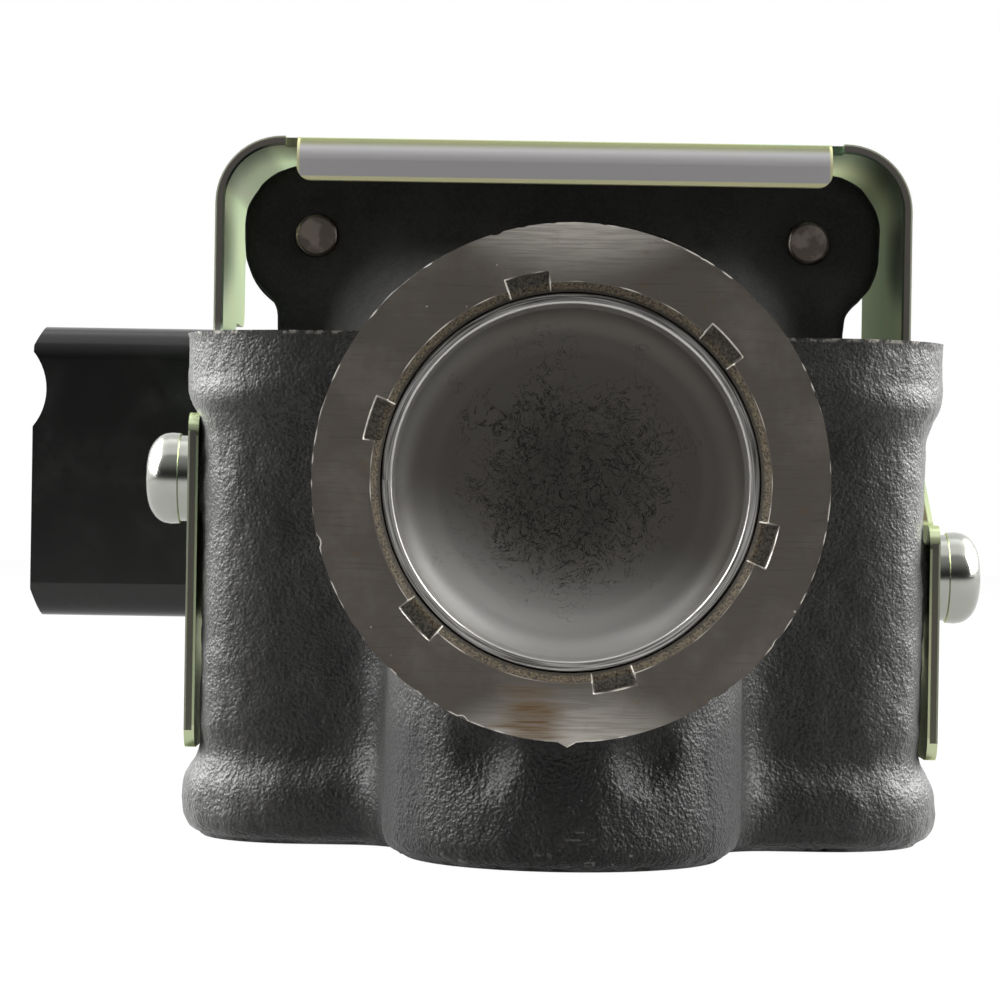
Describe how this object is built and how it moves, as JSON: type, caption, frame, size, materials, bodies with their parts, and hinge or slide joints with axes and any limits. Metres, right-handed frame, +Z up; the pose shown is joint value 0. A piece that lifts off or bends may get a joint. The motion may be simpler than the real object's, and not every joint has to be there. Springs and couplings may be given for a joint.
{
  "type": "egr valve",
  "caption": "Cast iron poppet valve for exhaust gas with a bolt-down foot, a linear motor with a side connector, and a bent heat shield.",
  "frame": {"origin": "half way between the two mounting bolt holes, on the machined foot face", "axes": "+Z up away from the foot, +Y along the valve stem from the ring to the motor, +X away from the connector"},
  "size_m": [0.108, 0.1291, 0.0775],
  "materials": {
    "cast_iron": "black paint over sand-cast texture, machined faces bare",
    "plug_steel": "drawn sheet, brushed",
    "valve_steel": "ground",
    "spring_steel": "oiled wire",
    "bronze": "sintered",
    "rubber": "moulded",
    "gasket": "coated sheet",
    "bracket_aluminium": "die cast",
    "motor_plastic": "glossy moulded",
    "bearing_steel": "ground",
    "magnet": "sintered",
    "stator_steel": "stamped",
    "copper": "wound wire",
    "pin_metal": "tin plated",
    "zinc_clear": "bright zinc plated",
    "zinc_yellow": "yellow zinc plated, iridescent"
  },
  "bodies": {
    "casing": {"valve_body": "cast_iron", "cup_plug": "plug_steel", "valve_seat": "valve_steel", "stem_scraper": "valve_steel", "seal_cap": "valve_steel", "spring_seat": "valve_steel", "return_spring": "spring_steel", "wave_washer": "spring_steel", "stem_bush": "bronze", "shaft_bush": "bronze", "stem_seal": "rubber", "cap_o_ring": "rubber", "flange_gasket": "gasket", "motor_bracket": "bracket_aluminium", "motor_housing": "motor_plastic", "end_cap": "motor_plastic", "front_bearing": "bearing_steel", "rear_bearing": "bearing_steel", "stator_front": "stator_steel", "stator_rear": "stator_steel", "coil_front": "copper", "coil_rear": "copper", "connector_pins": "pin_metal", "motor_screws": "zinc_clear", "motor_washers": "zinc_clear", "shield_screws": "zinc_clear", "shield_washers": "zinc_clear", "cap_screws": "zinc_clear", "heat_shield": "zinc_yellow"},
    "valve": {"valve_head": "valve_steel", "valve_stem": "valve_steel", "spring_retainer": "valve_steel", "stem_clip": "valve_steel"},
    "rotor": {"rotor_hub": "bearing_steel", "rotor_magnet": "magnet"},
    "drive_shaft": {"drive_shaft": "bearing_steel"}
  },
  "joints": [
    {"name": "rotor_spin", "type": "hinge", "parent": "casing", "child": "rotor", "pos_m": [0, 0.0665, 0.038], "axis": [0, 1, 0], "range_deg": [0, 540]},
    {"name": "valve_slide", "type": "slide", "parent": "casing", "child": "valve", "axis": [0, -1, 0], "range_m": [0, 0.006], "stiffness_N_per_m": 1100, "springref_m": -0.008, "deforming": ["return_spring"]},
    {"name": "drive_slide", "type": "slide", "parent": "casing", "child": "drive_shaft", "axis": [0, -1, 0], "range_m": [0, 0.006]}
  ],
  "couplings": [
    {"joint": "rotor_spin", "follows": "valve_slide", "rad_per_m": 1570.8},
    {"joint": "drive_slide", "follows": "valve_slide", "ratio": 1}
  ]
}
